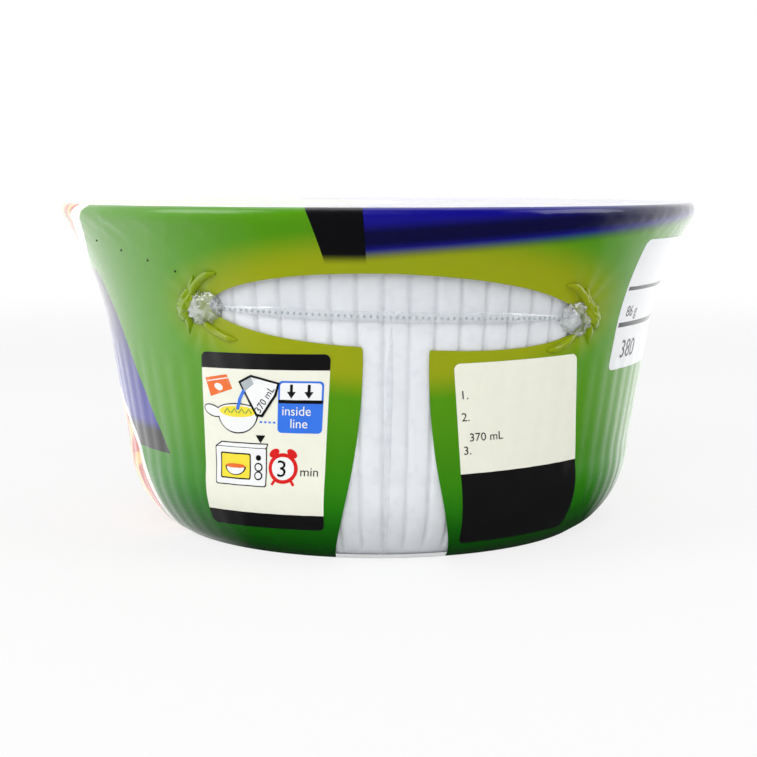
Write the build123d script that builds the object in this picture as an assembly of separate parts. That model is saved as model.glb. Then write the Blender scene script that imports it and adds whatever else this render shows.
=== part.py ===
from build123d import *
import os
from math import cos, radians, sin

# A shut bowl of instant noodles in heat-shrunk film, standing on its foot.
# Millimetres, +Z up. The base of the film is on Z = 0, and the sealed ends
# of the film face -Y and +Y.

# bowl
bowl_height = 72.0
rim_diameter = 145.4
rim_edge_height = 1.3  # upright outer edge of the rim
rim_lip_inset = 1.5  # the lip under that edge slopes in by this
rim_lip_drop = 2.7  # from the rim's top down to the foot of the lip
rim_root_diameter = 131.0  # where the rim's underside meets the wall
rim_root_drop = 5.4  # from the rim's top down to that line
rim_rounding = 0.6
step_diameter = 116.2  # lower end of the straight wall
step_height = 19.0
step_inset = 0.5
foot_bulge_diameter = 110.6
foot_bulge_height = 9.0
foot_diameter = 99.6
foot_edge_height = 2.0
base_diameter = 95.0

# grooves pressed into the wall
groove_count = 76
groove_radius = 1.2
groove_depth = 0.5
groove_top_gap = 2.0  # plain wall left under the rim
groove_run_on = 6.0  # how far the grooves pass below the step

# lid
lid_inset = 0.8  # from the rim's edge
lid_thickness = 0.6

# film
film_thickness = 0.3
film_clearance = 0.1
film_leave_height = 46.5  # the film leaves the wall here and runs to the rim
film_sag = 1.1  # how far that run curves in, at its middle
film_edge_rounding = 0.8

# sealed ends of the film
seal_height = 51.6
seal_half_angle = 36.0
seal_width = 2.4
seal_proud = 0.5
ear_length = 13.0
ear_height = 10.0
ear_depth = 4.4
ear_turn = 12.0  # the ears' outer ends point down

rim_radius = rim_diameter / 2
bowl_floor = film_thickness + film_clearance
bowl_top = bowl_floor + bowl_height
lid_top = bowl_top + lid_thickness


def wall_radius(height):
    """Radius of the bowl's straight wall at a height above the bowl's floor."""
    low = step_diameter / 2
    high = rim_root_diameter / 2
    rise = bowl_height - rim_root_drop - step_height
    return low + (high - low) * (height - step_height) / rise


def turned(lines_and_arcs):
    """A solid turned about Z: two points make a line, three make an arc."""
    edges = []
    for points in lines_and_arcs:
        if len(points) == 2:
            edges.append(Line(*points))
        else:
            edges.append(ThreePointArc(*points))
    section = Plane.XZ * Face(Wire(edges))
    return revolve(section, Axis.Z)


def bowl_body():
    floor = bowl_floor
    low_wall = (step_diameter / 2, floor + step_height)
    under_step = (step_diameter / 2 - step_inset, floor + step_height)
    bulge = (foot_bulge_diameter / 2, floor + foot_bulge_height)
    foot = (foot_diameter / 2, floor + foot_edge_height)
    base = (base_diameter / 2, floor)
    root = (rim_root_diameter / 2, bowl_top - rim_root_drop)
    lip = (rim_radius - rim_lip_inset, bowl_top - rim_lip_drop)
    edge = (rim_radius, bowl_top - rim_edge_height)
    top = (rim_radius, bowl_top)
    return turned([
        ((0, floor), base),
        (base, foot),
        (foot, bulge, under_step),
        (under_step, low_wall),
        (low_wall, root),
        (root, lip),
        (lip, edge),
        (edge, top),
        (top, (0, bowl_top)),
        ((0, bowl_top), (0, floor)),
    ])


def groove_cutter():
    """A rod that lies along the straight wall, in the plane of +X."""
    low = step_height - groove_run_on
    high = bowl_height - rim_root_drop - groove_top_gap
    out = groove_radius - groove_depth
    start = Vector(wall_radius(low) + out, 0, bowl_floor + low)
    end = Vector(wall_radius(high) + out, 0, bowl_floor + high)
    run = end - start
    rod = Plane(origin=start, z_dir=run) * Cylinder(
        groove_radius, run.length, align=(Align.CENTER, Align.CENTER, Align.MIN)
    )
    tip = Pos(end.X, end.Y, end.Z) * Sphere(groove_radius)
    return rod + tip


def make_bowl():
    body = bowl_body()
    rim_edges = body.edges().filter_by(GeomType.CIRCLE).group_by(SortBy.RADIUS)[-1]
    body = fillet(rim_edges, rim_rounding)
    cutter = groove_cutter()
    step = 360 / groove_count
    cutters = [Rot(0, 0, (index + 0.5) * step) * cutter for index in range(groove_count)]
    return body - cutters


def make_lid():
    disc = Cylinder(
        rim_radius - lid_inset,
        lid_thickness,
        align=(Align.CENTER, Align.CENTER, Align.MIN),
    )
    return Pos(0, 0, bowl_top) * disc


def film_run_radius(height, offset):
    """Radius of the straight line from the leaving height up to the rim's lip."""
    low = wall_radius(film_leave_height)
    high = rim_radius - rim_lip_inset
    rise = bowl_height - rim_lip_drop - film_leave_height
    return low + (high - low) * (height - film_leave_height) / rise + offset


def film_envelope(offset):
    """The solid inside a surface that wraps bowl and lid at an offset."""
    floor = bowl_floor
    low_wall = (step_diameter / 2 + offset, floor + step_height)
    bulge = (foot_bulge_diameter / 2 + offset, floor + foot_bulge_height)
    foot = (foot_diameter / 2 + offset, floor + foot_edge_height - offset)
    base = (base_diameter / 2, floor - offset)
    leave = (wall_radius(film_leave_height) + offset, floor + film_leave_height)
    middle_height = (film_leave_height + bowl_height - rim_lip_drop) / 2
    middle = (
        film_run_radius(middle_height, offset) - film_sag,
        floor + middle_height,
    )
    lip = (rim_radius - rim_lip_inset + offset, bowl_top - rim_lip_drop)
    edge = (rim_radius + offset, bowl_top - rim_edge_height)
    corner = (rim_radius + offset, lid_top + offset)
    body = turned([
        ((0, floor - offset), base),
        (base, foot),
        (foot, bulge, low_wall),
        (low_wall, leave),
        (leave, middle, lip),
        (lip, edge),
        (edge, corner),
        (corner, (0, lid_top + offset)),
        ((0, lid_top + offset), (0, floor - offset)),
    ])
    top_edge = body.edges().filter_by(GeomType.CIRCLE).group_by(Axis.Z)[-1]
    return fillet(top_edge, film_edge_rounding)


def seal_band():
    """The flattened seal that crosses the end at -Y."""
    radius = film_run_radius(seal_height, film_thickness)
    section = Plane.XZ * Pos(radius, bowl_floor + seal_height) * Rectangle(
        2 * seal_proud + film_sag, seal_width
    )
    swept = revolve(section, Axis.Z, revolution_arc=2 * seal_half_angle)
    return Rot(0, 0, -90 - seal_half_angle) * swept


def ear(side):
    """A crumpled corner of the film at one end of the seal."""
    lump = scale(Sphere(1), by=(ear_length / 2, ear_depth / 2, ear_height / 2))
    lump = Rot(0, side * ear_turn, 0) * lump
    angle = radians(side * seal_half_angle)
    radius = film_run_radius(seal_height, film_thickness) - film_sag
    place = Pos(radius * sin(angle), -radius * cos(angle), bowl_floor + seal_height)
    return place * Rot(0, 0, side * seal_half_angle) * lump


def make_film():
    outside = film_envelope(film_clearance + film_thickness)
    end = seal_band() + ear(-1) + ear(1)
    outside = outside + end + Rot(0, 0, 180) * end
    return outside - film_envelope(film_clearance)


os.makedirs("parts", exist_ok=True)
export_step(make_bowl(), "parts/bowl.step")
export_step(make_lid(), "parts/lid.step")
export_step(make_film(), "parts/film.step")
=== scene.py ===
import bpy
import math
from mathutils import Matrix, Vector, noise
from mathutils.geometry import delaunay_2d_cdt


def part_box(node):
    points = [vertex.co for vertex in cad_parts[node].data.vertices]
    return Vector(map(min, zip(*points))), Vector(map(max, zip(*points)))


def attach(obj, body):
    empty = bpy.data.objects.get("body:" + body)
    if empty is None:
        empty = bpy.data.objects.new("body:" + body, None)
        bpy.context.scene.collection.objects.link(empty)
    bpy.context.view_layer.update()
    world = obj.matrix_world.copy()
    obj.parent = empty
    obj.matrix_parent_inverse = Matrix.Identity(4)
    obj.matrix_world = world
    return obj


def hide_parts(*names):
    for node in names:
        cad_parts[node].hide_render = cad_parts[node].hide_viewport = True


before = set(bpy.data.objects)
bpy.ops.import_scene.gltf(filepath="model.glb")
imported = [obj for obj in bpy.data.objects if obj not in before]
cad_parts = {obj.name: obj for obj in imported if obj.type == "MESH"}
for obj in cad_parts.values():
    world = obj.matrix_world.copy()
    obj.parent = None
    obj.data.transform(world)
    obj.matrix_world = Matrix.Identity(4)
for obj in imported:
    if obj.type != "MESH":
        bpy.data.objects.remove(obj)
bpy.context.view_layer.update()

mm = 0.001
filmLow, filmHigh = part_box("film")
packTop = filmHigh.z / mm
rimRadius = filmHigh.x / mm - 0.6  # the film draws in a little between its wrinkles

# outline of the wrapped pack: foot, straight wall, run up to the rim, rim; radius and height in mm
wrap = dict(baseRadius=47.5, foot=(50.8, 2.0), bulge=(56.3, 9.4), wallFoot=(58.5, 19.4),
            wallLeave=(62.8, 46.9), runMiddle=(65.95, 58.1), lip=(71.6, 69.7), edge=71.1,
            edgeRounding=0.8, blend=0.9)
# the film's surface: rib count and how far it dips between ribs, wrinkles at the rim
filmRelief = dict(ribs=76, dip=0.11, dipTop=46.0, dipFade=9.0, rimWrinkle=0.16, wave=0.10)
# clear window and strip, degrees from the middle of the end and mm above the base
window = dict(middle=1.6, half=36.8, height=52.0, up=8.6, down=6.3, fallLeft=0.04, fallRight=0.07,
              stripTop=6.0, stripSpread=8.0, stripHeight=46.0)


def srgb(red, green, blue):
    def linear(value):
        value /= 255
        return value / 12.92 if value <= 0.04045 else ((value + 0.055) / 1.055) ** 2.4
    return (linear(red), linear(green), linear(blue), 1.0)


def arcThrough(first, second, third, count=24):
    (x1, y1), (x2, y2), (x3, y3) = first, second, third
    d = 2 * (x1 * (y2 - y3) + x2 * (y3 - y1) + x3 * (y1 - y2))
    s1, s2, s3 = x1 * x1 + y1 * y1, x2 * x2 + y2 * y2, x3 * x3 + y3 * y3
    cx = (s1 * (y2 - y3) + s2 * (y3 - y1) + s3 * (y1 - y2)) / d
    cy = (s1 * (x3 - x2) + s2 * (x1 - x3) + s3 * (x2 - x1)) / d
    radius = math.hypot(x1 - cx, y1 - cy)
    start, end = math.atan2(y1 - cy, x1 - cx), math.atan2(y3 - cy, x3 - cx)
    turn = (end - start + math.pi) % (2 * math.pi) - math.pi
    angles = [start + turn * i / count for i in range(count + 1)]
    return [(cx + radius * math.cos(t), cy + radius * math.sin(t)) for t in angles]


def evenly(points, spacing):
    run = [0.0]
    for p, q in zip(points, points[1:]):
        run.append(run[-1] + math.dist(p, q))
    count = max(2, round(run[-1] / spacing))
    made, j = [], 0
    for i in range(count + 1):
        want = run[-1] * i / count
        while j < len(points) - 2 and run[j + 1] < want:
            j += 1
        share = (want - run[j]) / max(run[j + 1] - run[j], 1e-9)
        made.append(tuple(a + (b - a) * share for a, b in zip(points[j], points[j + 1])))
    return made


def sideOutline():
    w = wrap
    lines = [(w["baseRadius"], 0.0)] + arcThrough(w["foot"], w["bulge"], w["wallFoot"])
    lines += arcThrough(w["wallLeave"], w["runMiddle"], w["lip"])
    top = packTop - w["edgeRounding"]
    lines += [(rimRadius, w["edge"]), (rimRadius, top)]
    for step in range(1, 7):
        t = math.radians(90 * step / 6)
        lines.append((rimRadius - w["edgeRounding"] * (1 - math.cos(t)),
                      top + w["edgeRounding"] * math.sin(t)))
    fine = evenly(lines, 0.25)
    reach = round(w["blend"] / 0.25)
    smooth = []
    for i in range(len(fine)):
        k = min(reach, i, len(fine) - 1 - i)
        part = fine[i - k:i + k + 1]
        smooth.append((sum(p[0] for p in part) / len(part), sum(p[1] for p in part) / len(part)))
    return smooth


outline = sideOutline()


def sideRadius(height):
    low, high = 0, len(outline) - 1
    if height <= 0:
        return outline[0][0]
    while high - low > 1:
        middle = (low + high) // 2
        if outline[middle][1] <= height:
            low = middle
        else:
            high = middle
    (r1, z1), (r2, z2) = outline[low], outline[high]
    return r1 + (r2 - r1) * min(1.0, (height - z1) / max(z2 - z1, 1e-6))


def smoothStep(low, high, value):
    t = min(1.0, max(0.0, (value - low) / (high - low)))
    return t * t * (3 - 2 * t)


def endAngle(angle):  # both ends of the pack are alike: the angle from the nearer end's middle
    angle = (angle + 180) % 360 - 180
    if angle > 90:
        return 180 - angle
    if angle < -90:
        return -180 - angle
    return angle


def dipAt(angle, height):  # how far the film lies inside its smooth outline, mm
    f = filmRelief
    tight = smoothStep(1.0, 5.0, height) * (1 - smoothStep(f["dipTop"] - f["dipFade"], f["dipTop"], height))
    rib = 0.5 - 0.5 * math.cos(math.radians(angle) * f["ribs"])
    dip = f["dip"] * rib ** 1.5 * tight
    around = Vector((math.cos(math.radians(angle)), math.sin(math.radians(angle)), height * 0.012))
    dip += f["wave"] * (0.5 + 0.5 * noise.noise(around * 4.0))
    rim = smoothStep(63.5, 69.0, height) * (1 - smoothStep(72.4, 73.3, height) * 0.6)
    if rim > 0:
        slant = noise.noise(Vector((angle * 0.33 + height * 0.42, height * 0.10, 3.0)))
        slant += 0.5 * noise.noise(Vector((angle * 0.85 - height * 0.5, height * 0.2, 9.0)))
        dip += f["rimWrinkle"] * rim * (0.6 + slant)
    near = abs(abs(endAngle(angle)) - 37)
    pull = math.exp(-(near / 7.0) ** 2 - ((height - 51.5) / 8.0) ** 2)
    if pull > 0.02:  # puckers run out from the ends of the seal
        ray = math.atan2(height - 51.5, (abs(endAngle(angle)) - 37) * 1.05)
        dip += 0.34 * pull * (0.5 + 0.5 * math.sin(ray * 11 + 0.8))
    return max(dip, 0.0)


def onFilm(angle, height, lift=0.0):
    t = math.radians(angle)
    radius = sideRadius(height) - dipAt(angle, height) + lift
    return Vector((radius * math.sin(t), -radius * math.cos(t), height)) * mm


def clearAt(angle, height, radius):  # above zero where the film is unprinted, in mm
    w = window
    if radius < w0 and height < 0.5:
        x = radius * math.sin(math.radians(angle))
        return 11.5 - abs(x)
    a = endAngle(angle)
    if height > 66:
        return -5.0
    spread = w["stripTop"] + w["stripSpread"] * max(0.0, (w["stripHeight"] - height) / w["stripHeight"]) ** 2
    strip = min((spread - abs(a)) * math.pi / 180 * radius, 52.0 - height)
    t = min(1.0, abs(a - w["middle"]) / w["half"])
    fall = -a * (w["fallLeft"] if a < 0 else w["fallRight"])
    upper = w["height"] + w["up"] * (1 - t ** 2.2) ** 0.6 + fall
    lower = w["height"] - w["down"] * (1 - t ** 2.6) ** 0.6 + fall
    lens = min(upper - height, height - lower, (w["half"] - abs(a - w["middle"])) * 1.1)
    return max(strip, lens)


w0 = wrap["baseRadius"]


def makeObject(name, points, faces, material, smooth=True):
    mesh = bpy.data.meshes.new(name)
    mesh.from_pydata([tuple(p) for p in points], [], faces)
    mesh.materials.append(material)
    mesh.validate()
    mesh.polygons.foreach_set("use_smooth", [smooth] * len(mesh.polygons))
    mesh.update()
    piece = bpy.data.objects.new(name, mesh)
    bpy.context.scene.collection.objects.link(piece)
    return piece


# node helpers: one call makes one node

class Nodes:
    def __init__(self, material):
        material.use_nodes = True
        self.tree = material.node_tree
        self.tree.nodes.clear()

    def add(self, kind, inputs=None, **settings):
        node = self.tree.nodes.new(kind)
        for name, value in settings.items():
            setattr(node, name, value)
        for name, value in (inputs or {}).items():
            self.feed(node.inputs[name], value)
        return node

    def feed(self, socket, value):
        if isinstance(value, bpy.types.NodeSocket):
            self.tree.links.new(value, socket)
        else:
            socket.default_value = value

    def math(self, operation, *values, clamp=False):
        node = self.add("ShaderNodeMath", operation=operation, use_clamp=clamp)
        for i, value in enumerate(values):
            self.feed(node.inputs[i], value)
        return node.outputs[0]

    def step(self, low, high, value):
        node = self.add("ShaderNodeMapRange", {"Value": value, "From Min": low, "From Max": high},
                        interpolation_type="SMOOTHSTEP")
        return node.outputs["Result"]

    def mix(self, share, first, second):
        node = self.add("ShaderNodeMix", data_type="RGBA")
        for socket, value in ((node.inputs[0], share), (node.inputs[6], first), (node.inputs[7], second)):
            self.feed(socket, value)
        return node.outputs[2]

    def noise(self, where, scale, detail=3.0, distortion=0.0):
        node = self.add("ShaderNodeTexNoise", {"Vector": where, "Scale": scale, "Detail": detail,
                                               "Distortion": distortion})
        return node.outputs["Fac"]

    def place(self):
        return self.add("ShaderNodeTexCoord").outputs["Object"]

    def bump(self, height, strength, distance):
        node = self.add("ShaderNodeBump", {"Height": height, "Strength": strength, "Distance": distance})
        return node.outputs["Normal"]

    def finish(self, **inputs):
        shader = self.add("ShaderNodeBsdfPrincipled")
        for name, value in inputs.items():
            self.feed(shader.inputs[name.replace("_", " ")], value)
        out = self.add("ShaderNodeOutputMaterial")
        self.tree.links.new(shader.outputs[0], out.inputs["Surface"])
        return shader


# print on the film: fields of colour, worked out from place
printLook = dict(roughness=0.20, green=(80, 146, 8), greenLow=(30, 124, 5), greenFoot=(5, 78, 3),
                 olive=(150, 160, 8), black=(14, 14, 17), blue=(16, 12, 132), blueDark=(7, 8, 46),
                 violet=(52, 50, 150), white=(238, 238, 236), soup=(196, 46, 16), noodle=(240, 196, 96),
                 herb=(60, 130, 30))


def makePrint():
    p = {key: srgb(*value) if isinstance(value, tuple) else value for key, value in printLook.items()}
    material = bpy.data.materials.new("filmPrint")
    n = Nodes(material)
    place = n.place()
    parts = n.add("ShaderNodeSeparateXYZ", {0: place}).outputs
    x = n.math("MULTIPLY", parts[0], 1000.0)
    y = n.math("ABSOLUTE", n.math("MULTIPLY", parts[1], 1000.0))
    z = n.math("MULTIPLY", parts[2], 1000.0)
    angle = n.math("MULTIPLY", n.math("ARCTAN2", x, y), 180 / math.pi)
    flat = n.math("SQRT", n.math("ADD", n.math("MULTIPLY", x, x), n.math("MULTIPLY", y, y)))
    below = n.math("MAXIMUM", n.math("SUBTRACT", packTop - 0.5, z), 0.0)
    reach = n.math("DIVIDE", n.math("ADD", n.math("MINIMUM", flat, 72.6), below), n.math("MAXIMUM", flat, 1.0))
    isSide = n.math("GREATER_THAN", below, 0.0)
    spread = n.math("ADD", n.math("MULTIPLY", isSide, n.math("SUBTRACT", reach, 1.0)), 1.0)
    planX = n.math("MULTIPLY", x, spread)
    planY = n.math("MULTIPLY", y, spread)
    cloud = n.noise(place, 26.0, 2.0)
    # green from the foot up, more olive round the window
    colour = n.mix(n.step(1.0, 17.0, z), p["greenFoot"], p["greenLow"])
    colour = n.mix(n.step(12.0, 42.0, n.math("ADD", z, n.math("MULTIPLY", cloud, 10.0))), colour, p["green"])
    across = n.math("DIVIDE", n.math("SUBTRACT", angle, 1.6), 46.0)
    upDown = n.math("DIVIDE", n.math("SUBTRACT", z, 52.5), 16.0)
    ring = n.math("ADD", n.math("MULTIPLY", across, across), n.math("MULTIPLY", upDown, upDown))
    colour = n.mix(n.math("MULTIPLY", n.step(1.25, 0.45, ring), isSide), colour, p["olive"])
    # blue field to the right, black slanted field beside it, both run on over the top
    edge = n.math("ADD", n.math("MULTIPLY", n.math("MAXIMUM", angle, -6.0), 0.085), 64.6)
    high = n.math("SUBTRACT", z, edge)
    bluePart = n.math("MULTIPLY", n.step(-1.6, 1.4, high), n.math("GREATER_THAN", planX, -7.0))
    middleBand = n.math("MULTIPLY", n.step(0.4, 2.4, high), n.step(6.6, 4.0, high))
    blue = n.mix(n.math("MULTIPLY", middleBand, 0.9), p["blue"], p["blueDark"])
    blue = n.mix(n.step(1.2, -1.2, high), blue, p["blueDark"])
    colour = n.mix(bluePart, colour, blue)
    slant = n.math("ADD", planX, n.math("MULTIPLY", below, -0.16))
    blackPart = n.math("MULTIPLY", n.math("GREATER_THAN", slant, -17.8), n.math("LESS_THAN", planX, -7.0))
    blackPart = n.math("MULTIPLY", blackPart, n.step(62.2, 64.6, z))
    colour = n.mix(blackPart, colour, p["black"])
    # violet field on the left side, black along its foot
    slope = n.math("ADD", n.math("MULTIPLY", n.math("SUBTRACT", z, 23.3), -0.51), -53.9)
    inside = n.math("LESS_THAN", angle, slope)
    inside = n.math("MULTIPLY", inside, n.math("GREATER_THAN", z, 20.5))
    inside = n.math("MULTIPLY", inside, n.math("LESS_THAN", z, 59.0))
    field = n.mix(n.step(27.5, 24.5, z), n.mix(n.step(30.0, 58.0, z), p["violet"], p["blueDark"]), p["black"])
    colour = n.mix(inside, colour, field)
    # a plain bowl of noodles, once on the top and once low on the left side
    strands = n.add("ShaderNodeTexWave", {"Vector": place, "Scale": 70.0, "Distortion": 9.0, "Detail": 2.0,
                                          "Detail Scale": 0.6}, wave_type="BANDS", bands_direction="DIAGONAL")
    food = n.mix(n.step(0.45, 0.75, n.noise(place, 60.0, 3.0)), p["soup"], srgb(226, 92, 30))
    food = n.mix(n.math("MULTIPLY", n.step(0.55, 0.8, strands.outputs["Fac"]), 0.85), food, p["noodle"])
    bits = n.add("ShaderNodeTexVoronoi", {"Vector": place, "Scale": 110.0, "Randomness": 1.0})
    food = n.mix(n.step(0.30, 0.22, bits.outputs["Distance"]), food, p["herb"])
    dx = n.math("ADD", planX, 38.0)
    top = n.math("SQRT", n.math("ADD", n.math("MULTIPLY", dx, dx), n.math("MULTIPLY", planY, planY)))
    top = n.math("ADD", top, n.math("MULTIPLY", n.math("LESS_THAN", z, 60.0), 200.0))
    sideX = n.math("MULTIPLY", n.math("ADD", angle, 90.0), 1.0)
    sideZ = n.math("SUBTRACT", z, 6.8)
    low = n.math("SQRT", n.math("ADD", n.math("MULTIPLY", sideX, sideX), n.math("MULTIPLY", sideZ, sideZ)))
    for far, radius, rim in ((top, 43.0, 2.6), (low, 26.7, 2.2)):
        colour = n.mix(n.step(radius + 0.1, radius - 0.1, far), colour, p["white"])
        colour = n.mix(n.step(radius - rim + 0.1, radius - rim - 0.1, far), colour, food)
    scuff = n.noise(place, 420.0, 2.0)
    rough = n.add("ShaderNodeMapRange", {"Value": scuff, "To Min": 0.14, "To Max": 0.27}).outputs["Result"]
    crinkle = n.noise(place, 160.0, 3.0, 0.6)
    n.finish(Base_Color=colour, Roughness=rough, Normal=n.bump(crinkle, 0.05, 0.0004), IOR=1.5,
             Specular_IOR_Level=0.5)
    return material


# inks for labels, numbers and little pictures
inks = dict(cream=(241, 241, 226), black=(16, 16, 18), white=(244, 245, 246), boxBlue=(52, 118, 232),
            red=(222, 22, 22), orange=(240, 112, 44), yellow=(246, 226, 60), grey=(176, 184, 190),
            leaf=(120, 165, 70), panelWhite=(238, 240, 243))
inkLook = dict(roughness=0.22)


def makeInk(name):
    material = bpy.data.materials.new("ink" + name[0].upper() + name[1:])
    n = Nodes(material)
    place = n.place()
    colour = srgb(*inks[name])
    worn = tuple(min(1.0, c * 0.93 + 0.004) for c in colour[:3]) + (1.0,)
    tone = n.mix(n.noise(place, 300.0, 3.0), colour, worn)
    crinkle = n.noise(place, 160.0, 3.0, 0.6)
    n.finish(Base_Color=tone, Roughness=inkLook["roughness"], Normal=n.bump(crinkle, 0.05, 0.0004), IOR=1.5,
             Specular_IOR_Level=0.5)
    return material


foamLook = dict(colour=(247, 248, 250), shade=(238, 240, 244), roughness=0.5, beads=520.0)


def makeFoam():
    material = bpy.data.materials.new("foamWhite")
    n = Nodes(material)
    place = n.place()
    beads = n.add("ShaderNodeTexVoronoi", {"Vector": place, "Scale": foamLook["beads"]}).outputs["Distance"]
    tone = n.mix(n.noise(place, 90.0, 3.0), srgb(*foamLook["colour"]), srgb(*foamLook["shade"]))
    tone = n.mix(n.step(0.55, 0.85, beads), tone, srgb(*foamLook["shade"]))
    n.finish(Base_Color=tone, Roughness=foamLook["roughness"], Normal=n.bump(beads, 0.06, 0.0002), IOR=1.45)
    return material


def makeBoard():
    material = bpy.data.materials.new("lidBoard")
    n = Nodes(material)
    place = n.place()
    fibre = n.noise(place, 700.0, 4.0)
    tone = n.mix(fibre, srgb(238, 238, 240), srgb(228, 228, 231))
    n.finish(Base_Color=tone, Roughness=0.6, Normal=n.bump(fibre, 0.1, 0.0001))
    return material


clearLook = dict(least=0.02, most=0.5, roughness=0.10)


def makeClear(name, haze, tint, least):
    material = bpy.data.materials.new(name)
    n = Nodes(material)
    place = n.place()
    crinkle = n.noise(place, 210.0, 3.0, 0.8)
    normal = n.bump(crinkle, 0.05, 0.0004)
    gloss = n.add("ShaderNodeBsdfGlossy", {"Color": (1, 1, 1, 1), "Roughness": clearLook["roughness"],
                                           "Normal": normal})
    through = n.add("ShaderNodeBsdfTransparent", {"Color": (0.985, 0.99, 0.995, 1)})
    milk = n.add("ShaderNodeBsdfDiffuse", {"Color": tint, "Normal": normal})
    body = n.add("ShaderNodeMixShader", {0: n.math("MULTIPLY", n.step(0.25, 0.8, crinkle), haze),
                                         1: through.outputs[0], 2: milk.outputs[0]})
    facing = n.add("ShaderNodeLayerWeight", {"Blend": 0.22, "Normal": normal}).outputs["Fresnel"]
    share = n.math("ADD", n.math("MULTIPLY", facing, clearLook["most"]), least, clamp=True)
    mixed = n.add("ShaderNodeMixShader", {0: share, 1: body.outputs[0], 2: gloss.outputs[0]})
    out = n.add("ShaderNodeOutputMaterial")
    n.tree.links.new(mixed.outputs[0], out.inputs["Surface"])
    return material


printed = makePrint()
ink = {name: makeInk(name) for name in inks}
foam = makeFoam()
board = makeBoard()
clear = makeClear("filmClear", 0.03, (0.86, 0.88, 0.9, 1), clearLook["least"])
milky = makeClear("filmCreased", 0.75, (0.82, 0.85, 0.86, 1), 0.10)
print("materials made")


# the film: one grid from the middle of the base to the middle of the top, split at the window's edge
filmGrid = dict(columns=456, sideStep=0.85, discRows=14)


def filmRows():
    base = [(w0 * (i / filmGrid["discRows"]), 0.0) for i in range(1, filmGrid["discRows"])]
    side = evenly(outline, filmGrid["sideStep"])
    inner = side[-1][0]
    top = [(inner * (1 - (i / filmGrid["discRows"]) ** 1.3), packTop) for i in range(1, filmGrid["discRows"])]
    return base, side, top


def makeFilm():
    columns = filmGrid["columns"]
    base, side, top = filmRows()
    rows = base + side + top
    points, value = [], []
    for number, (radius, height) in enumerate(rows):
        isSide = len(base) <= number < len(base) + len(side)
        for column in range(columns):
            angle = 360 * column / columns
            t = math.radians(angle)
            inset = dipAt(angle, height) if isSide else 0.0
            fade = min(1.0, (number - len(base)) / 3) if isSide else 0.0
            lastFade = min(1.0, (len(base) + len(side) - 1 - number) / 3) if isSide else 0.0
            r = radius - inset * fade * lastFade
            sag = 0.0
            if number >= len(base) + len(side):
                wrinkle = noise.noise(Vector((math.sin(t) * radius * 0.09, math.cos(t) * radius * 0.09, 5.0)))
                sag = 0.18 * smoothStep(1.0, 0.8, radius / rimRadius) * (0.5 + wrinkle)
            points.append(Vector((r * math.sin(t), -r * math.cos(t), height - max(0.0, sag))) * mm)
            value.append(clearAt(angle, height, radius))
    cut = {}
    sides = {True: [], False: []}

    def crossing(i, j):
        key = (min(i, j), max(i, j))
        if key not in cut:
            share = value[i] / (value[i] - value[j])
            share = min(0.98, max(0.02, share))
            cut[key] = len(points)
            points.append(points[i].lerp(points[j], share))
        return cut[key]

    for row in range(len(rows) - 1):
        for column in range(columns):
            after = (column + 1) % columns
            corners = [row * columns + column, row * columns + after,
                       (row + 1) * columns + after, (row + 1) * columns + column]
            for keep in (True, False):
                loop = []
                for i, j in zip(corners, corners[1:] + corners[:1]):
                    if (value[i] > 0) == keep:
                        loop.append(i)
                    if (value[i] > 0) != (value[j] > 0):
                        loop.append(crossing(i, j))
                if len(loop) >= 3:
                    sides[keep].append(loop)
    for row, height, flip in ((0, 0.0, True), (len(rows) - 1, packTop, False)):
        middle = len(points)
        points.append(Vector((0, 0, height)) * mm)
        for column in range(columns):
            a, b = row * columns + column, row * columns + (column + 1) % columns
            sides[flip].append([b, a, middle] if flip else [a, b, middle])
    pieces = []
    for keep, name, material in ((False, "filmPrinted", printed), (True, "filmWindow", clear)):
        used = sorted({i for face in sides[keep] for i in face})
        new = {old: number for number, old in enumerate(used)}
        faces = [[new[i] for i in face] for face in sides[keep]]
        pieces.append(makeObject(name, [points[i] for i in used], faces, material))
    return pieces


filmPrinted, filmWindow = makeFilm()
print("film made")


# the ribbed foam bowl: a turned grid, its grooves pressed in by geometry nodes
bowlShape = dict(ribs=76, grooveDepth=0.85, grooveShare=0.24, columnsPerRib=10, rowStep=1.3, gap=0.42,
                 rimWidth=3.0, rimDrop=5.0, stepHeight=19.2, stepInset=0.55, grooveLow=1.2, grooveHigh=65.0)


def bowlOutline():
    b = bowlShape
    points = [(w0 - 1.5, 0.42)]
    for radius, height in evenly(outline, b["rowStep"]):
        if 1.2 < height < packTop - b["rimDrop"] - 1.4:
            inset = b["gap"] + (b["stepInset"] if height < b["stepHeight"] else 0.0)
            wall = 58.1 + (65.5 - 58.1) * (height - 19.4) / 47.6
            points.append((min(radius - inset, wall) if height > 19.4 else radius - inset, height))
    rim = rimRadius - b["gap"] - 0.1
    top = packTop - 1.1
    points += [(rim - 1.6, top - 2.7), (rim - 0.2, top - 1.4), (rim, top - 0.8), (rim - 0.4, top), (20.0, top)]
    return points


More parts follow.
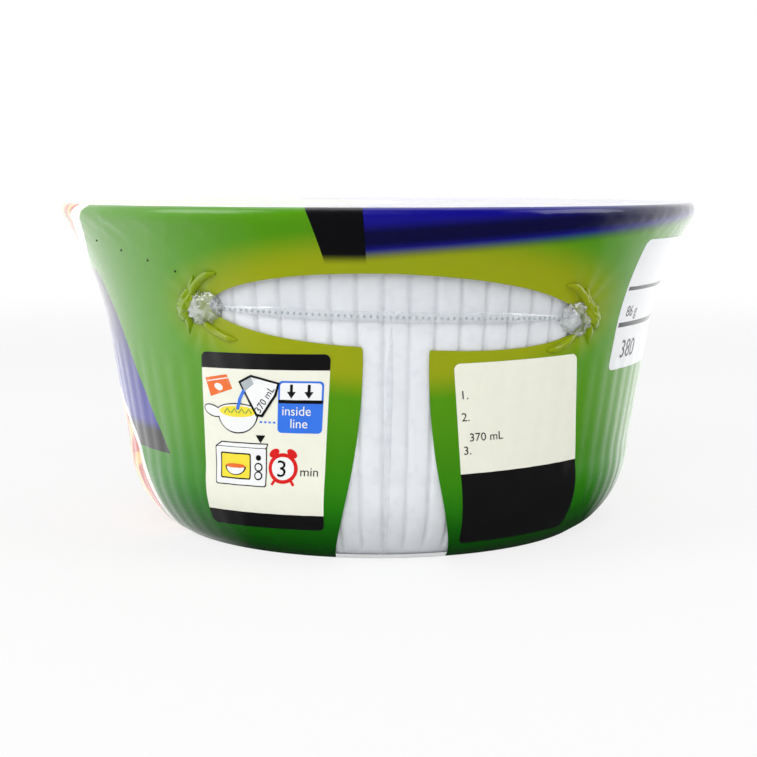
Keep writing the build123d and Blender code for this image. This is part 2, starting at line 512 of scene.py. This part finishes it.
def grooveTree():
    tree = bpy.data.node_groups.new("pressedGrooves", "GeometryNodeTree")
    face = tree.interface
    face.new_socket("Geometry", in_out="INPUT", socket_type="NodeSocketGeometry")
    for name in ("Ribs", "Depth", "Groove share", "Low", "High"):
        face.new_socket(name, in_out="INPUT", socket_type="NodeSocketFloat")
    face.new_socket("Material", in_out="INPUT", socket_type="NodeSocketMaterial")
    face.new_socket("Geometry", in_out="OUTPUT", socket_type="NodeSocketGeometry")
    source, result = tree.nodes.new("NodeGroupInput"), tree.nodes.new("NodeGroupOutput")

    def calc(operation, *values):
        node = tree.nodes.new("ShaderNodeMath")
        node.operation = operation
        for i, value in enumerate(values):
            if isinstance(value, bpy.types.NodeSocket):
                tree.links.new(value, node.inputs[i])
            else:
                node.inputs[i].default_value = value
        return node.outputs[0]

    def ramp(low, high, value):
        node = tree.nodes.new("ShaderNodeMapRange")
        node.interpolation_type = "SMOOTHSTEP"
        for name, item in (("Value", value), ("From Min", low), ("From Max", high)):
            if isinstance(item, bpy.types.NodeSocket):
                tree.links.new(item, node.inputs[name])
            else:
                node.inputs[name].default_value = item
        return node.outputs["Result"]

    place = tree.nodes.new("GeometryNodeInputPosition").outputs[0]
    parts = tree.nodes.new("ShaderNodeSeparateXYZ")
    tree.links.new(place, parts.inputs[0])
    x, y, z = parts.outputs
    turn = calc("DIVIDE", calc("ARCTAN2", x, calc("MULTIPLY", y, -1.0)), 2 * math.pi)
    phase = calc("FRACT", calc("ADD", calc("MULTIPLY", turn, source.outputs["Ribs"]), 1000.0))
    fromGroove = calc("MULTIPLY", calc("ABSOLUTE", calc("SUBTRACT", phase, 0.5)), 2.0)
    groove = ramp(source.outputs["Groove share"], 0.0, fromGroove)
    crown = calc("MULTIPLY", calc("POWER", calc("SUBTRACT", 1.0, fromGroove), 2.0), 0.22)
    groove = calc("ADD", groove, crown)
    tall = calc("MULTIPLY", ramp(source.outputs["Low"], calc("ADD", source.outputs["Low"], 0.004), z),
                ramp(source.outputs["High"], calc("SUBTRACT", source.outputs["High"], 0.003), z))
    depth = calc("MULTIPLY", calc("MULTIPLY", groove, tall), source.outputs["Depth"])
    reach = calc("SQRT", calc("ADD", calc("MULTIPLY", x, x), calc("MULTIPLY", y, y)))
    share = calc("DIVIDE", depth, calc("MAXIMUM", reach, 0.001))
    offset = tree.nodes.new("ShaderNodeCombineXYZ")
    tree.links.new(calc("MULTIPLY", calc("MULTIPLY", x, share), -1.0), offset.inputs[0])
    tree.links.new(calc("MULTIPLY", calc("MULTIPLY", y, share), -1.0), offset.inputs[1])
    move = tree.nodes.new("GeometryNodeSetPosition")
    tree.links.new(source.outputs["Geometry"], move.inputs["Geometry"])
    tree.links.new(offset.outputs[0], move.inputs["Offset"])
    return closeTree(tree, source, move.outputs[0], result)


def closeTree(tree, source, geometry, result):
    real = tree.nodes.new("GeometryNodeRealizeInstances")
    paint = tree.nodes.new("GeometryNodeSetMaterial")
    tree.links.new(geometry, real.inputs[0])
    tree.links.new(real.outputs[0], paint.inputs["Geometry"])
    tree.links.new(source.outputs["Material"], paint.inputs["Material"])
    tree.links.new(paint.outputs[0], result.inputs[0])
    return tree


def applyTree(piece, tree, values):
    modifier = piece.modifiers.new("rule", "NODES")
    modifier.node_group = tree
    for item in tree.interface.items_tree:
        if item.in_out == "INPUT" and item.name in values:
            modifier[item.identifier] = values[item.name]
    bpy.context.view_layer.update()
    depsgraph = bpy.context.evaluated_depsgraph_get()
    mesh = bpy.data.meshes.new_from_object(piece.evaluated_get(depsgraph))
    mesh.name = piece.name
    piece.modifiers.clear()
    piece.data = mesh
    mesh.polygons.foreach_set("use_smooth", [True] * len(mesh.polygons))
    return piece


def makeBowl():
    b = bowlShape
    columns = b["ribs"] * b["columnsPerRib"]
    rows = bowlOutline()
    points = []
    for radius, height in rows:
        for column in range(columns):
            t = 2 * math.pi * column / columns
            points.append(Vector((radius * math.sin(t), -radius * math.cos(t), height)) * mm)
    faces = []
    for row in range(len(rows) - 1):
        for column in range(columns):
            after = (column + 1) % columns
            faces.append([row * columns + column, row * columns + after,
                          (row + 1) * columns + after, (row + 1) * columns + column])
    for row, flip in ((0, True), (len(rows) - 1, False)):
        middle = len(points)
        points.append(Vector((0, 0, rows[row][1])) * mm)
        for column in range(columns):
            a, c = row * columns + column, row * columns + (column + 1) % columns
            faces.append([c, a, middle] if flip else [a, c, middle])
    piece = makeObject("bowlRibbed", points, faces, foam)
    return applyTree(piece, grooveTree(), {"Ribs": float(b["ribs"]), "Depth": b["grooveDepth"] * mm,
                                           "Groove share": b["grooveShare"], "Low": b["grooveLow"] * mm,
                                           "High": b["grooveHigh"] * mm, "Material": foam})


bowlRibbed = makeBowl()
print("bowl made")


# flat shapes laid on the film: loops in label mm, filled and wrapped

def insideLoops(point, loops):
    x, y = point
    found = False
    for loop in loops:
        for (x1, y1), (x2, y2) in zip(loop, loop[1:] + loop[:1]):
            if (y1 > y) != (y2 > y) and x < (x2 - x1) * (y - y1) / (y2 - y1) + x1:
                found = not found
    return found


def layShapes(name, shapes, material, toFilm, spacing=0.8):
    points, faces = [], []
    for loops, lift in shapes:
        loops = [evenlyClosed(loop, spacing) for loop in loops]
        flat = [p for loop in loops for p in loop]
        edges, start = [], 0
        for loop in loops:
            count = len(loop)
            edges += [(start + i, start + (i + 1) % count) for i in range(count)]
            start += count
        xs, ys = [p[0] for p in flat], [p[1] for p in flat]
        across = max(1, int((max(xs) - min(xs)) / spacing))
        up = max(1, int((max(ys) - min(ys)) / spacing))
        inner = []
        for i in range(1, across):
            for j in range(1, up):
                p = (min(xs) + (max(xs) - min(xs)) * (i + 0.13 * (j % 2)) / across,
                     min(ys) + (max(ys) - min(ys)) * j / up)
                if insideLoops(p, loops) and min(math.dist(p, q) for q in flat) > spacing * 0.45:
                    inner.append(p)
        made = delaunay_2d_cdt([Vector(p) for p in flat + inner], edges, [], 0, 1e-6)
        offset = len(points)
        points += [toFilm(v.x, v.y, lift) for v in made[0]]
        for face in made[2]:
            x = sum(made[0][i].x for i in face) / 3
            y = sum(made[0][i].y for i in face) / 3
            if insideLoops((x, y), loops):
                faces.append([offset + i for i in face])
    piece = makeObject(name, points, faces, material)
    turnOut(piece)
    return piece


def turnOut(piece):  # faces point away from the pack's axis
    mesh = piece.data
    flips = []
    for polygon in mesh.polygons:
        c = polygon.center
        if polygon.normal.x * c.x + polygon.normal.y * c.y < 0:
            flips.append(polygon.index)
    for index in flips:
        mesh.polygons[index].flip()
    mesh.update()


def evenlyClosed(loop, spacing):
    made = []
    for p, q in zip(loop, loop[1:] + loop[:1]):
        count = max(1, round(math.dist(p, q) / spacing))
        made += [(p[0] + (q[0] - p[0]) * i / count, p[1] + (q[1] - p[1]) * i / count) for i in range(count)]
    return made


def ellipseLoop(x, y, wide, tall=None, tilt=0.0, count=36, start=0.0, end=360.0):
    tall = wide if tall is None else tall
    c, s = math.cos(math.radians(tilt)), math.sin(math.radians(tilt))
    full = abs(end - start) >= 360
    made = []
    for i in range(count if full else count + 1):
        t = math.radians(start + (end - start) * i / count)
        u, v = wide * math.cos(t), tall * math.sin(t)
        made.append((x + u * c - v * s, y + u * s + v * c))
    return made


def boxLoop(x1, y1, x2, y2, corner=0.0, shear=0.0):
    loop = []
    for cx, cy, turn in ((x2 - corner, y2 - corner, 0), (x1 + corner, y2 - corner, 90),
                         (x1 + corner, y1 + corner, 180), (x2 - corner, y1 + corner, 270)):
        steps = 6 if corner else 0
        for i in range(steps + 1):
            t = math.radians(turn + 90 * (i / steps if steps else 0.5))
            loop.append((cx + corner * math.cos(t), cy + corner * math.sin(t)))
    return [(x, y + shear * (x - x1)) for x, y in loop]


def lineLoop(points, width):
    left, right = [], []
    for i, p in enumerate(points):
        before, after = points[max(0, i - 1)], points[min(len(points) - 1, i + 1)]
        dx, dy = after[0] - before[0], after[1] - before[1]
        size = math.hypot(dx, dy)
        nx, ny = -dy / size * width / 2, dx / size * width / 2
        left.append((p[0] + nx, p[1] + ny))
        right.append((p[0] - nx, p[1] - ny))
    return left + right[::-1]


def textLoops(words, x, y, size, tilt=0.0, bold=0.0, widen=1.0):
    data = bpy.data.curves.new("words", "FONT")
    data.body = words
    data.size = 1.0
    data.offset = bold
    data.resolution_u = 3
    data.fill_mode = "NONE"
    holder = bpy.data.objects.new("words", data)
    bpy.context.scene.collection.objects.link(holder)
    bpy.context.view_layer.update()
    mesh = bpy.data.meshes.new_from_object(holder.evaluated_get(bpy.context.evaluated_depsgraph_get()))
    bpy.data.objects.remove(holder)
    joined = {}
    for edge in mesh.edges:
        a, b = edge.vertices
        joined.setdefault(a, []).append(b)
        joined.setdefault(b, []).append(a)
    c, s = math.cos(math.radians(tilt)), math.sin(math.radians(tilt))
    loops, seen = [], set()
    for start in joined:
        if start in seen:
            continue
        loop, here, last = [], start, None
        while here not in seen:
            seen.add(here)
            u, v = mesh.vertices[here].co.x * size * widen, mesh.vertices[here].co.y * size
            loop.append((x + u * c - v * s, y + u * s + v * c))
            following = [k for k in joined[here] if k != last and k not in seen]
            if not following:
                break
            last, here = here, following[0]
        if len(loop) > 2:
            loops.append(loop)
    bpy.data.meshes.remove(mesh)
    return loops


# the two cooking panels: where their top left corner lies, how they lean and spread downwards
panelSizes = dict(
    left=dict(angle=-38.6, top=44.2, lean=-0.105, spread=0.0009, wide=28.3, tall=37.2, corner=1.3,
              header=3.3, footer=3.4),
    right=dict(angle=10.7, top=42.7, lean=0.115, spread=0.0022, wide=28.8, tall=38.8, corner=1.3, field=23.0))
degreesPerMm = 0.947


def panelMap(side, turned=0.0):
    p = panelSizes[side]

    def toFilm(x, y, lift):
        down = -y
        angle = p["angle"] + p["lean"] * down + x * degreesPerMm * (1 + p["spread"] * down)
        height = p["top"] - down + (0.5 - x / p["wide"]) * -0.6
        return onFilm(angle + turned, height, lift)
    return toFilm


def halfBox(x1, y1, x2, y2, corner, roundTop):
    loop = []
    for cx, cy, turn, isTop in ((x2, y2, 0, True), (x1, y2, 90, True), (x1, y1, 180, False), (x2, y1, 270, False)):
        r = corner if isTop == roundTop else 0.0
        mx = cx - r if cx == x2 else cx + r
        my = cy - r if cy == y2 else cy + r
        steps = 6 if r else 0
        for i in range(steps + 1):
            t = math.radians(turn + 90 * (i / steps if steps else 0.5))
            loop.append((mx + r * math.cos(t), my + r * math.sin(t)))
    return loop


def leftPanel(turned, tag):
    p = panelSizes["left"]
    toFilm = panelMap("left", turned)
    wide, tall, corner = p["wide"], p["tall"], p["corner"]
    pieces = []

    def lay(name, colour, shapes):
        pieces.append(layShapes(name + tag, shapes, ink[colour], toFilm))
    lay("panelLeft", "cream", [([boxLoop(0, -tall, wide, 0, corner)], 0.03)])
    black = [([halfBox(0, -p["header"], wide, 0, corner, True)], 0.06),
             ([halfBox(0, -tall, wide, -tall + p["footer"], corner, False)], 0.06)]
    red, orange, yellow, white, blue, grey, leaf = [], [], [], [], [], [], []
    # seasoning sachet, tilted, with its seal line
    orange.append(([[(0.9, -5.4), (6.3, -4.5), (7.6, -7.5), (2.2, -9.3)]], 0.06))
    white.append(([lineLoop([(1.4, -6.1), (6.6, -5.2)], 0.22)], 0.09))
    white.append(([ellipseLoop(4.2, -7.2, 1.1, 0.7, -20)], 0.09))
    # opened lid and bowl with noodles and water
    black.append(([ellipseLoop(2.6, -12.3, 2.4, 1.25, -18)], 0.06))
    white.append(([ellipseLoop(2.6, -12.3, 2.15, 1.0, -18)], 0.09))
    bowl = ellipseLoop(8.7, -12.5, 4.9, 4.4, 0, 24, 180, 360)
    black.append(([bowl], 0.06))
    black.append(([ellipseLoop(8.7, -12.2, 5.2, 1.75)], 0.06))
    white.append(([ellipseLoop(8.7, -13.0, 4.5, 3.6, 0, 24, 180, 360)], 0.09))
    white.append(([ellipseLoop(8.7, -12.2, 4.9, 1.5)], 0.09))
    yellow.append(([ellipseLoop(8.7, -12.2, 4.4, 1.2)], 0.12))
    for k in range(4):
        leaf.append(([lineLoop([(5.6 + k * 1.7, -12.6), (6.4 + k * 1.7, -11.6), (7.0 + k * 1.7, -12.5)], 0.3)], 0.15))
    # jug that pours, with its amount
    jug = [(9.0, -5.9), (11.9, -4.4), (18.2, -5.9), (17.6, -8.6), (14.6, -13.2), (13.1, -13.0)]
    black.append(([jug], 0.16))
    white.append(([[(9.7, -6.1), (12.0, -4.9), (17.7, -6.2), (17.1, -8.4), (14.3, -12.6), (13.4, -12.5)]], 0.19))
    grey.append(([[(9.7, -6.1), (12.0, -4.9), (12.6, -6.3), (10.6, -7.9)]], 0.21))
    amount = textLoops("370 mL", 14.0, -12.5, 2.2, 58, 0.01, 0.92)
    inkLayer = [([loop for loop in amount], 0.24)]
    blue.append(([lineLoop([(10.4, -7.6), (9.4, -9.4), (8.8, -11.8)], 0.7)], 0.18))
    # fill line sign: arrows down to a thick line, words on blue
    blue.append(([boxLoop(17.9, -16.3, 27.3, -5.5, 0.9)], 0.06))
    white.append(([halfBox(18.3, -9.4, 26.9, -5.9, 0.7, True)], 0.09))
    black.append(([boxLoop(18.0, -10.1, 27.2, -9.4)], 0.12))
    for x in (20.7, 24.3):
        black.append(([[(x - 0.3, -6.2), (x + 0.3, -6.2), (x + 0.3, -7.7), (x + 0.95, -7.7), (x, -9.1),
                        (x - 0.95, -7.7), (x - 0.3, -7.7)]], 0.12))
    for words, x, y in (("inside", 18.7, -12.6), ("line", 20.5, -15.2)):
        white.append((textLoops(words, x, y, 2.75, 0, 0.012, 0.98), 0.12))
    for x in (13.9, 14.9, 15.9, 16.9):
        blue.append(([boxLoop(x, -14.4, x + 0.55, -14.0)], 0.06))
    black.append(([[(13.0, -17.0), (15.2, -17.0), (14.1, -18.7)]], 0.06))
    # oven, then the time on a red alarm clock
    black.append(([boxLoop(3.0, -28.0, 15.6, -19.6, 0.5)], 0.06))
    white.append(([boxLoop(3.25, -27.75, 15.35, -19.85, 0.4)], 0.09))
    black.append(([[(3.0, -19.8), (4.6, -18.7), (15.9, -18.7), (15.6, -19.8)]], 0.06))
    white.append(([[(3.6, -19.7), (4.8, -18.95), (15.6, -18.95), (15.3, -19.7)]], 0.09))
    black.append(([boxLoop(4.4, -26.6, 11.9, -21.0, 0.4)], 0.12))
    yellow.append(([boxLoop(4.7, -26.3, 11.6, -21.3, 0.3)], 0.15))
    black.append(([ellipseLoop(8.1, -23.9, 2.6, 1.9, 0, 18, 180, 360)], 0.18))
    white.append(([ellipseLoop(8.1, -24.1, 2.2, 1.5, 0, 18, 180, 360)], 0.21))
    orange.append(([ellipseLoop(8.1, -23.8, 2.4, 0.5)], 0.21))
    black.append(([ellipseLoop(13.7, -21.8, 0.6)], 0.12))
    for y in (-23.8, -25.6):
        black.append(([ellipseLoop(13.7, y, 0.95)], 0.12))
        white.append(([ellipseLoop(13.7, y, 0.65)], 0.15))
    for x, lean in ((17.3, 35), (21.2, -35)):
        red.append(([ellipseLoop(x, -20.6, 1.25, 0.8, lean)], 0.06))
    for x, foot in ((17.6, 16.8), (20.9, 21.7)):
        red.append(([lineLoop([(x, -26.2), (foot, -27.4)], 0.6)], 0.06))
    red.append(([ellipseLoop(19.25, -23.8, 3.25)], 0.09))
    white.append(([ellipseLoop(19.25, -23.8, 2.45)], 0.12))
    black.append((textLoops("3", 17.75, -25.55, 5.0, 0, 0.035), 0.16))
    black.append((textLoops("min", 22.9, -25.3, 2.75, 0, 0.004), 0.06))
    for name, colour, shapes in (("markBlack", "black", black), ("markRed", "red", red),
                                 ("markOrange", "orange", orange), ("markYellow", "yellow", yellow),
                                 ("markWhite", "white", white), ("markBlue", "boxBlue", blue),
                                 ("markGrey", "grey", grey), ("markLeaf", "leaf", leaf),
                                 ("markAmount", "black", inkLayer)):
        lay(name, colour, shapes)
    return pieces


def rightPanel(turned, tag):
    p = panelSizes["right"]
    toFilm = panelMap("right", turned)
    wide, tall, corner = p["wide"], p["tall"], p["corner"]
    upper = [([halfBox(0, -p["field"], wide, 0, corner, True)], 0.03)]
    lower = [([halfBox(0, -tall, wide, -p["field"], corner, False)], 0.03)]
    marks = []
    for words, y in (("1.", -7.3), ("2.", -11.9), ("3.", -18.9)):
        marks.append((textLoops(words, 0.8, y, 2.5, 0, 0.006), 0.07))
    marks.append((textLoops("370 mL", 2.2, -16.2, 2.45, 0, 0.004), 0.07))
    return [layShapes("panelRight" + tag, upper, ink["cream"], toFilm),
            layShapes("panelRightFoot" + tag, lower, ink["black"], toFilm),
            layShapes("panelRightMarks" + tag, marks, ink["black"], toFilm)]


# white panel on the right side: two thick rules and two plain figures
sidePanel = dict(angle=49.5, top=66.2, wide=50.0, tall=28.0, corner=1.5, lean=0.045)


def whitePanel():
    s = sidePanel

    def toFilm(x, y, lift):
        return onFilm(s["angle"] + s["lean"] * (y + s["tall"]) + x * 0.9, s["top"] + y, lift)
    field = [([boxLoop(0, -s["tall"], s["wide"], 0, s["corner"])], 0.03)]
    marks = [([boxLoop(0.8, -10.9, s["wide"] - 0.8, -10.1)], 0.07),
             ([boxLoop(0.8, -18.8, s["wide"] - 0.8, -17.8)], 0.07),
             (textLoops("86 g", 3.0, -16.6, 3.4, 0, 0.01), 0.07),
             (textLoops("380", 4.0, -25.6, 5.6, 0, 0.03), 0.07)]
    return [layShapes("panelSide", field, ink["panelWhite"], toFilm),
            layShapes("panelSideMarks", marks, ink["black"], toFilm)]


labels = []
for turned, tag in ((0.0, "Front"), (180.0, "Back")):
    labels += leftPanel(turned, tag)
    labels += rightPanel(turned, tag)
labels += whitePanel()
print("labels laid", len(labels))


# sealed ends: band, pressed dots, seam down the strip, folds and creased corners
sealSizes = dict(height=52.0, fall=-0.035, half=34.0, wide=2.2, lift=0.26, dotStep=1.25, dotSize=0.30,
                 seamAngle=-0.9, seamWide=1.3, seamLift=0.16)


def sealHeight(angle):
    return sealSizes["height"] + sealSizes["fall"] * angle


def ribbon(name, path, wide, material, turned):
    rows, cross = len(path), (-1.0, -0.7, 0.0, 0.7, 1.0)
    rise = (0.0, 1.0, 1.15, 1.0, 0.0)
    points, faces = [], []
    for i, (angle, height, lift) in enumerate(path):
        a0, h0, _ = path[max(0, i - 1)]
        a1, h1, _ = path[min(rows - 1, i + 1)]
        du, dv = (a1 - a0) * 1.08, h1 - h0
        size = math.hypot(du, dv)
        nu, nv = -dv / size, du / size
        taper = min(1.0, 0.25 + 4.0 * min(i, rows - 1 - i) / rows)
        for c, r in zip(cross, rise):
            points.append(onFilm(angle + turned + c * nu * wide / 2 * taper / 1.08,
                                 height + c * nv * wide / 2 * taper, 0.03 + lift * r * taper))
    for i in range(rows - 1):
        for j in range(len(cross) - 1):
            a = i * len(cross) + j
            faces.append([a, a + 1, a + 1 + len(cross), a + len(cross)])
    piece = makeObject(name, points, faces, material)
    turnOut(piece)
    return piece


def dotTree():
    tree = bpy.data.node_groups.new("pressedDots", "GeometryNodeTree")
    face = tree.interface
    face.new_socket("Geometry", in_out="INPUT", socket_type="NodeSocketGeometry")
    face.new_socket("Size", in_out="INPUT", socket_type="NodeSocketFloat")
    face.new_socket("Material", in_out="INPUT", socket_type="NodeSocketMaterial")
    face.new_socket("Geometry", in_out="OUTPUT", socket_type="NodeSocketGeometry")
    source, result = tree.nodes.new("NodeGroupInput"), tree.nodes.new("NodeGroupOutput")
    ball = tree.nodes.new("GeometryNodeMeshUVSphere")
    ball.inputs["Segments"].default_value = 8
    ball.inputs["Rings"].default_value = 4
    tree.links.new(source.outputs["Size"], ball.inputs["Radius"])
    onPoints = tree.nodes.new("GeometryNodeInstanceOnPoints")
    tree.links.new(source.outputs["Geometry"], onPoints.inputs["Points"])
    tree.links.new(ball.outputs["Mesh"], onPoints.inputs["Instance"])
    return closeTree(tree, source, onPoints.outputs[0], result)


def dotRow(name, places, size, material):
    mesh = bpy.data.meshes.new(name)
    mesh.from_pydata([tuple(p) for p in places], [], [])
    piece = bpy.data.objects.new(name, mesh)
    bpy.context.scene.collection.objects.link(piece)
    return applyTree(piece, dotTree(), {"Size": size * mm, "Material": material})


earSizes = dict(half=(6.3, 4.4, 2.0), seed=4)


def makeEar(name, angle, height, tilt, turned, material, seed, size):
    rings, around = 26, 40
    c, s = math.cos(math.radians(tilt)), math.sin(math.radians(tilt))
    points, faces = [], []
    for i in range(1, rings):
        v = math.pi * i / rings
        for j in range(around):
            u = 2 * math.pi * j / around
            shape = Vector((math.sin(v) * math.cos(u), math.sin(v) * math.sin(u), math.cos(v)))
            crease = 1 - abs(noise.noise(shape * 2.3 + Vector((seed, 0, 0)))) * 1.5
            crease += 0.28 * (1 - abs(noise.noise(shape * 5.5 + Vector((0, seed, 0)))) * 2)
            scale = 0.62 + 0.34 * crease
            x, y, out = shape.x * size[0] * scale, shape.z * size[1] * scale, shape.y * size[2] * scale
            px, py = x * c - y * s, x * s + y * c
            at = onFilm(angle + turned + px / 1.12, height + py, 0.0)
            ray = Vector((at.x, at.y, 0)).normalized()
            points.append(at + ray * (out + 0.25) * mm)
    for i in range(rings - 2):
        for j in range(around):
            k = (j + 1) % around
            faces.append([i * around + j, i * around + k, (i + 1) * around + k, (i + 1) * around + j])
    for row in (0, rings - 2):
        middle = sum((points[row * around + j] for j in range(around)), Vector()) / around
        points.append(middle)
        for j in range(around):
            k = (j + 1) % around
            tip = [row * around + j, row * around + k, len(points) - 1]
            faces.append(tip if row else tip[::-1])
    piece = makeObject(name, points, faces, material)
    return piece


def sealedEnd(turned, tag):
    s = sealSizes
    pieces = []
    path = [(a, sealHeight(a), s["lift"]) for a in [-s["half"] + 2 * s["half"] * i / 90 for i in range(91)]]
    pieces.append(ribbon("sealBand" + tag, path, s["wide"], milkyBand, turned))
    count = round(2 * s["half"] * 1.1 / s["dotStep"])
    places = []
    for i in range(count + 1):
        a = -s["half"] + 2 * s["half"] * i / count
        places.append(onFilm(a + turned, sealHeight(a), 0.22))
    pieces.append(dotRow("sealDots" + tag, places, s["dotSize"], ink["grey"]))
    seam = [(s["seamAngle"] - 0.02 * (50 - h), h, s["seamLift"]) for h in [50.0 - 0.55 * i for i in range(90)]]
    pieces.append(ribbon("stripSeam" + tag, seam, s["seamWide"], clearSeam, turned))
    for side, low, name in ((-1, 53.0, "Left"), (1, 50.3, "Right")):
        # printed folds round the corner, then the creased clear tip
        folds = (
            [(32 + 9 * t, low + 7.2 - 9 * t * t, 1.0) for t in [i / 24 for i in range(25)]],
            [(37 + 6 * t - 2 * t * t, low + 6.5 - 12 * t, 0.8) for t in [i / 24 for i in range(25)]],
            [(30 + 8 * t, low - 6.2 + 4.5 * t * t, 0.7) for t in [i / 24 for i in range(25)]])
        for number, fold in enumerate(folds):
            line = [(side * a, h, lift) for a, h, lift in fold]
            pieces.append(ribbon(f"fold{name}{number}{tag}", line, 1.5, printed, turned))
        pieces.append(makeEar(f"ear{name}{tag}", side * 36.3, low, side * -18, turned, milky,
                              3.7 + side, (5.0, 3.5, 1.6)))
        pieces.append(makeEar(f"earFold{name}{tag}", side * 40.0, low + 0.6, side * -50, turned, printed,
                              7.1 + side, (4.2, 2.3, 1.5)))
    return pieces


milkyBand = makeClear("sealBandFilm", 0.35, (0.86, 0.89, 0.92, 1), 0.06)
clearSeam = makeClear("seamFilm", 0.25, (0.9, 0.92, 0.95, 1), 0.06)
ends = []
for turned, tag in ((0.0, "Front"), (180.0, "Back")):
    ends += sealedEnd(turned, tag)
print("ends made", len(ends))


# small vent holes in a slanted row on the left of each end: each hole is a black dot, painted shade for the dark
# inside of the hole
def ventHoleShade():
    places = []
    for turned in (0.0, 180.0):
        for angle, height in ((-62.5, 65.8), (-54.2, 64.1), (-47.2, 62.3), (-41.0, 60.3)):
            places.append(onFilm(angle + turned, height, -0.05))
    # black ink here is painted shade, standing in for the dark inside of each hole
    return dotRow("ventHoleShade", places, 0.28, ink["black"])


ventShadeDots = ventHoleShade()

for piece, slot in [(bowlRibbed, "foam"), (filmPrinted, "film"), (filmWindow, "film"), (ventShadeDots, "film")]:
    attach(piece, "root")
for piece in labels + ends:
    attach(piece, "root")
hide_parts("bowl")
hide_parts("film")
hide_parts("film")
lid = bpy.data.objects["lid"]
lid.data.materials.clear()
lid.data.materials.append(board)


# plain pale floor, soft light, white behind
studio = dict(front=0.03, around=1.7, diffuse=0.20, floorGlow=0.80, floorNear=0.30, floorFar=0.75, rightShift=0.45)
lamps = dict(
    left=dict(place=(-0.78, -0.34, 0.42), size=0.55, power=3.4, mirrored=True),
    right=dict(place=(0.82, -0.30, 0.40), size=0.55, power=3.0, mirrored=True),
    front=dict(place=(-0.12, -0.95, 0.50), size=0.60, power=6.0, mirrored=False),
    top=dict(place=(0.0, 0.15, 1.10), size=0.80, power=1.6, mirrored=True))


def sideLight(n, direction):  # what gloss mirrors: dark in front, bright at the sides and behind
    parts = n.add("ShaderNodeSeparateXYZ", {0: direction}).outputs
    shift = n.math("MULTIPLY", n.math("MAXIMUM", parts[0], 0.0), studio["rightShift"])
    room = n.add("ShaderNodeMapRange", {"Value": n.math("SUBTRACT", parts[1], shift), "From Min": -0.80,
                                        "From Max": -0.05, "To Min": studio["front"],
                                        "To Max": studio["around"]})
    return room.outputs["Result"]


def makeStudio():
    material = bpy.data.materials.new("floorPale")
    n = Nodes(material)
    place = n.place()
    tone = n.mix(n.noise(place, 3.0, 2.0), (0.93, 0.93, 0.93, 1), (0.91, 0.91, 0.915, 1))
    plain = n.add("ShaderNodeBsdfPrincipled", {"Base Color": tone, "Roughness": 0.7})
    glow = n.add("ShaderNodeEmission", {"Color": (1, 1, 1, 1), "Strength": 1.0})
    path = n.add("ShaderNodeLightPath").outputs
    lit = n.add("ShaderNodeMixShader", {0: n.math("MULTIPLY", path["Is Camera Ray"], studio["floorGlow"]),
                                        1: plain.outputs[0], 2: glow.outputs[0]})
    flat = n.add("ShaderNodeVectorMath", {0: place}, operation="NORMALIZE").outputs["Vector"]
    mirrored = n.add("ShaderNodeEmission", {"Color": (1, 1, 1, 1), "Strength": sideLight(n, flat)})
    lit = n.add("ShaderNodeMixShader", {0: path["Is Glossy Ray"], 1: lit.outputs[0], 2: mirrored.outputs[0]})
    far = n.add("ShaderNodeVectorMath", {0: place}, operation="LENGTH").outputs["Value"]
    gone = n.add("ShaderNodeBsdfTransparent")
    faded = n.add("ShaderNodeMixShader", {0: n.step(studio["floorNear"], studio["floorFar"], far),
                                          1: lit.outputs[0], 2: gone.outputs[0]})
    out = n.add("ShaderNodeOutputMaterial")
    n.tree.links.new(faded.outputs[0], out.inputs["Surface"])
    size = 1.2
    floor = makeObject("floor", [(-size, -size, 0), (size, -size, 0), (size, size, 0), (-size, size, 0)],
                       [[0, 1, 2, 3]], material, False)
    world = bpy.data.worlds.new("studio")
    bpy.context.scene.world = world
    w = Nodes(world)
    path = w.add("ShaderNodeLightPath").outputs
    seen = w.math("MAXIMUM", path["Is Camera Ray"], path["Is Transmission Ray"])
    room = sideLight(w, w.add("ShaderNodeTexCoord").outputs["Generated"])
    level = w.math("MULTIPLY", room,
                   w.math("ADD", w.math("MULTIPLY", path["Is Glossy Ray"], 1.0 - studio["diffuse"]),
                          studio["diffuse"]))
    strength = w.math("ADD", seen, w.math("MULTIPLY", w.math("SUBTRACT", 1.0, seen), level))
    back = w.add("ShaderNodeBackground", {"Color": (1, 1, 1, 1), "Strength": strength})
    out = w.add("ShaderNodeOutputWorld")
    w.tree.links.new(back.outputs[0], out.inputs[0])
    for name, l in lamps.items():
        light = bpy.data.lights.new(name, "AREA")
        light.size = l["size"]
        light.energy = l["power"]
        lamp = bpy.data.objects.new(name, light)
        lamp.location = l["place"]
        lamp.rotation_euler = (Vector((0, 0, 0.035)) - Vector(l["place"])).to_track_quat("-Z", "Y").to_euler()
        lamp.visible_glossy = l["mirrored"]
        bpy.context.scene.collection.objects.link(lamp)


makeStudio()

# camera: distance from the pack's axis, height, angle round the pack, downward tilt
view = dict(distance=0.370, height=0.0792, turn=-3.2, tilt=7.3, lens=75.0)


def makeCamera():
    data = bpy.data.cameras.new("camera")
    data.sensor_width = 36.0
    data.lens = view["lens"]
    camera = bpy.data.objects.new("camera", data)
    t = math.radians(view["turn"])
    camera.location = (view["distance"] * math.sin(t), -view["distance"] * math.cos(t), view["height"])
    camera.rotation_euler = (math.radians(90 - view["tilt"]), 0, t)
    data.clip_start = 0.01
    bpy.context.scene.collection.objects.link(camera)
    bpy.context.scene.camera = camera


makeCamera()
scene = bpy.context.scene
scene.view_settings.view_transform = "Standard"
bpy.context.view_layer.update()
print("scene ready")
